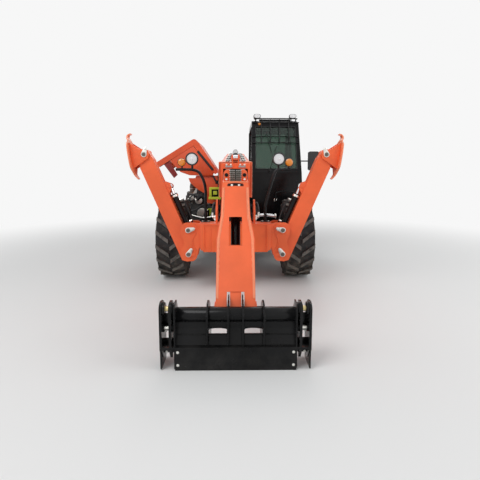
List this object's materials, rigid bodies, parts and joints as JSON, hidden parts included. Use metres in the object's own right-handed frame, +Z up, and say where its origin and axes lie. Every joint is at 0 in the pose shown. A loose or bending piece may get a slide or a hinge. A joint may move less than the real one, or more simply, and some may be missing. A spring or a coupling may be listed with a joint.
{
  "type": "telehandler",
  "caption": "Telescopic handler with a low boom, cranked head and quick coupler, raised stabiliser legs, offset cab and an open engine cover.",
  "frame": {"origin": "on the ground, midway along the machine and on its centre plane", "axes": "+X to the machine's left, the cab's side; the front, with the coupler, looks along -Y; +Z up"},
  "size_m": [2.87, 6.6018, 2.6239],
  "materials": {
    "orange_paint": "satin orange paint, worn",
    "black_paint": "satin black paint",
    "dark_frame": "black chassis paint",
    "tyre": "ribbed black rubber with dried dirt",
    "rim_paint": "orange rim paint",
    "chrome": "polished rod",
    "glass": "green-tinted glass",
    "lamp_glass": "clear lamp lens over white reflector",
    "amber": "amber lens",
    "red_lens": "red lens",
    "seat_fabric": "dark seat cloth",
    "black_plastic": "black moulded plastic",
    "pad_plastic": "grey sliding pad",
    "engine_metal": "black-painted casting",
    "hood_paint": "orange cover paint",
    "cast_weight": "dark cast iron"
  },
  "bodies": {
    "chassis": {"chassis_frame": "dark_frame", "counterweight": "cast_weight", "front_beam": "orange_paint", "front_axle": "dark_frame", "rear_axle": "dark_frame", "cab_body": "black_paint", "cab_glass": "glass", "cab_seat": "seat_fabric", "cab_console": "black_plastic", "cab_guard_and_step": "dark_frame", "engine_bay": "dark_frame", "engine": "engine_metal", "radiator": "black_plastic", "fuel_tank": "dark_frame", "lamp_stalks": "dark_frame", "lamps": "lamp_glass", "amber_lamps": "amber", "tail_lamps": "red_lens", "door_mirror": "black_plastic"},
    "knuckle_front_left": {"knuckle_front_left": "dark_frame"},
    "wheel_front_left": {"rim_front_left": "rim_paint", "tyre_front_left": "tyre"},
    "knuckle_front_right": {"knuckle_front_right": "dark_frame"},
    "wheel_front_right": {"rim_front_right": "rim_paint", "tyre_front_right": "tyre"},
    "knuckle_rear_left": {"knuckle_rear_left": "dark_frame"},
    "wheel_rear_left": {"rim_rear_left": "rim_paint", "tyre_rear_left": "tyre"},
    "knuckle_rear_right": {"knuckle_rear_right": "dark_frame"},
    "wheel_rear_right": {"rim_rear_right": "rim_paint", "tyre_rear_right": "tyre"},
    "outer_boom": {"boom_outer": "orange_paint", "extend_ram_barrel": "black_paint", "outer_wear_pads": "pad_plastic"},
    "middle_boom": {"boom_mid": "orange_paint", "extend_ram_rod": "chrome", "mid_wear_pads": "pad_plastic"},
    "inner_boom": {"boom_inner": "orange_paint", "boom_head": "orange_paint"},
    "coupler": {"coupler": "black_paint"},
    "lift_ram_barrel": {"lift_ram_barrel": "black_paint"},
    "lift_ram_rod": {"lift_ram_rod": "chrome"},
    "tip_ram_barrel": {"tip_ram_barrel": "black_paint"},
    "tip_ram_rod": {"tip_ram_rod": "chrome"},
    "leg_left": {"leg_left": "orange_paint"},
    "foot_left": {"foot_left": "orange_paint"},
    "leg_ram_left_barrel": {"leg_ram_barrel_left": "black_paint"},
    "leg_ram_left_rod": {"leg_ram_rod_left": "chrome"},
    "leg_right": {"leg_right": "orange_paint"},
    "foot_right": {"foot_right": "orange_paint"},
    "leg_ram_right_barrel": {"leg_ram_barrel_right": "black_paint"},
    "leg_ram_right_rod": {"leg_ram_rod_right": "chrome"},
    "cab_door": {"cab_door": "black_paint", "door_glass": "glass"},
    "engine_hood": {"engine_hood": "hood_paint"},
    "hood_strut_barrel": {"hood_strut_barrel": "black_plastic"},
    "hood_strut_rod": {"hood_strut_rod": "chrome"}
  },
  "joints": [
    {"name": "steer_front_left", "type": "hinge", "parent": "chassis", "child": "knuckle_front_left", "pos_m": [0.76, -0.5, 0.59], "axis": [0, 0, 1], "range_deg": [-32, 32]},
    {"name": "spin_front_left", "type": "hinge", "parent": "knuckle_front_left", "child": "wheel_front_left", "pos_m": [0.935, -0.5, 0.59], "axis": [-1, 0, 0], "continuous": true},
    {"name": "steer_front_right", "type": "hinge", "parent": "chassis", "child": "knuckle_front_right", "pos_m": [-0.76, -0.5, 0.59], "axis": [0, 0, 1], "range_deg": [-32, 32]},
    {"name": "spin_front_right", "type": "hinge", "parent": "knuckle_front_right", "child": "wheel_front_right", "pos_m": [-0.935, -0.5, 0.59], "axis": [-1, 0, 0], "continuous": true},
    {"name": "steer_rear_left", "type": "hinge", "parent": "chassis", "child": "knuckle_rear_left", "pos_m": [0.76, 2.4, 0.59], "axis": [0, 0, 1], "range_deg": [-32, 32]},
    {"name": "spin_rear_left", "type": "hinge", "parent": "knuckle_rear_left", "child": "wheel_rear_left", "pos_m": [0.935, 2.4, 0.59], "axis": [-1, 0, 0], "continuous": true},
    {"name": "steer_rear_right", "type": "hinge", "parent": "chassis", "child": "knuckle_rear_right", "pos_m": [-0.76, 2.4, 0.59], "axis": [0, 0, 1], "range_deg": [-32, 32]},
    {"name": "spin_rear_right", "type": "hinge", "parent": "knuckle_rear_right", "child": "wheel_rear_right", "pos_m": [-0.935, 2.4, 0.59], "axis": [-1, 0, 0], "continuous": true},
    {"name": "boom_lift", "type": "hinge", "parent": "chassis", "child": "outer_boom", "pos_m": [0, 2.6, 1.83], "axis": [-1, 0, 0], "range_deg": [0, 68]},
    {"name": "boom_extend", "type": "slide", "parent": "outer_boom", "child": "middle_boom", "axis": [0, -0.9962, -0.0872], "range_m": [0, 1.5]},
    {"name": "boom_extend_inner", "type": "slide", "parent": "middle_boom", "child": "inner_boom", "axis": [0, -0.9962, -0.0872], "range_m": [0, 1.5]},
    {"name": "coupler_tip", "type": "hinge", "parent": "inner_boom", "child": "coupler", "pos_m": [0, -3.03983, 0.40002], "axis": [1, 0, 0], "range_deg": [-35, 85]},
    {"name": "lift_ram_swing", "type": "hinge", "parent": "chassis", "child": "lift_ram_barrel", "pos_m": [0, 1.1, 0.58], "axis": [1, 0, 0], "range_deg": [0, 20.25]},
    {"name": "lift_ram_slide", "type": "slide", "parent": "lift_ram_barrel", "child": "lift_ram_rod", "axis": [0, 0.661, 0.7503], "range_m": [0, 0.7958]},
    {"name": "tip_ram_swing", "type": "hinge", "parent": "inner_boom", "child": "tip_ram_barrel", "pos_m": [0, -2.32805, 1.24828], "axis": [1, 0, 0], "range_deg": [-1.1, 0.45]},
    {"name": "tip_ram_slide", "type": "slide", "parent": "tip_ram_barrel", "child": "tip_ram_rod", "axis": [0, -0.4747, -0.8801], "range_m": [-0.2909, 0.1198]},
    {"name": "leg_left_swing", "type": "hinge", "parent": "chassis", "child": "leg_left", "pos_m": [0.609, -1.33, 0.535], "axis": [0, 1, 0], "range_deg": [0, 80]},
    {"name": "foot_left_swivel", "type": "hinge", "parent": "leg_left", "child": "foot_left", "pos_m": [1.15888, -1.33, 1.81488], "axis": [0, 1, 0], "range_deg": [-15, 15]},
    {"name": "leg_ram_left_swing", "type": "hinge", "parent": "chassis", "child": "leg_ram_left_barrel", "pos_m": [0.609, -1.33, 0.85], "axis": [0, 1, 0], "range_deg": [0, 92.42]},
    {"name": "leg_ram_left_slide", "type": "slide", "parent": "leg_ram_left_barrel", "child": "leg_ram_left_rod", "axis": [0.3953, 0, 0.9186], "range_m": [0, 0.3862]},
    {"name": "leg_right_swing", "type": "hinge", "parent": "chassis", "child": "leg_right", "pos_m": [-0.609, -1.33, 0.535], "axis": [0, -1, 0], "range_deg": [0, 80]},
    {"name": "foot_right_swivel", "type": "hinge", "parent": "leg_right", "child": "foot_right", "pos_m": [-1.15888, -1.33, 1.81488], "axis": [0, -1, 0], "range_deg": [-15, 15]},
    {"name": "leg_ram_right_swing", "type": "hinge", "parent": "chassis", "child": "leg_ram_right_barrel", "pos_m": [-0.609, -1.33, 0.85], "axis": [0, -1, 0], "range_deg": [0, 92.42]},
    {"name": "leg_ram_right_slide", "type": "slide", "parent": "leg_ram_right_barrel", "child": "leg_ram_right_rod", "axis": [-0.3953, 0, 0.9186], "range_m": [0, 0.3862]},
    {"name": "door_swing", "type": "hinge", "parent": "chassis", "child": "cab_door", "pos_m": [1.196, 1.377, 1.5], "axis": [0, 0, 1], "range_deg": [0, 95]},
    {"name": "hood_swing", "type": "hinge", "parent": "chassis", "child": "engine_hood", "pos_m": [-0.3, 0.26, 1.58], "axis": [0, -1, 0], "range_deg": [0, 57]},
    {"name": "hood_strut_swing", "type": "hinge", "parent": "chassis", "child": "hood_strut_barrel", "pos_m": [-0.34, 0.3, 1.43], "axis": [0, -1, 0], "range_deg": [0, 50.48]},
    {"name": "hood_strut_slide", "type": "slide", "parent": "hood_strut_barrel", "child": "hood_strut_rod", "axis": [-0.4587, 0, 0.8886], "range_m": [-0.1312, 0]}
  ],
  "couplings": [
    {"joint": "steer_front_right", "follows": "steer_front_left", "ratio": 1},
    {"joint": "steer_rear_right", "follows": "steer_rear_left", "ratio": 1},
    {"joint": "boom_extend_inner", "follows": "boom_extend", "ratio": 1},
    {"joint": "lift_ram_swing", "follows": "boom_lift", "ratio": 0.292},
    {"joint": "lift_ram_slide", "follows": "boom_lift", "m_per_rad": 0.65737},
    {"joint": "tip_ram_swing", "follows": "coupler_tip", "ratio": -0.0127},
    {"joint": "tip_ram_slide", "follows": "coupler_tip", "m_per_rad": -0.19223},
    {"joint": "leg_ram_left_swing", "follows": "leg_left_swing", "ratio": 1.1326},
    {"joint": "leg_ram_left_slide", "follows": "leg_left_swing", "m_per_rad": 0.27117},
    {"joint": "leg_ram_right_swing", "follows": "leg_right_swing", "ratio": 1.1326},
    {"joint": "leg_ram_right_slide", "follows": "leg_right_swing", "m_per_rad": 0.27117},
    {"joint": "hood_strut_swing", "follows": "hood_swing", "ratio": 0.8683},
    {"joint": "hood_strut_slide", "follows": "hood_swing", "m_per_rad": -0.12932}
  ]
}
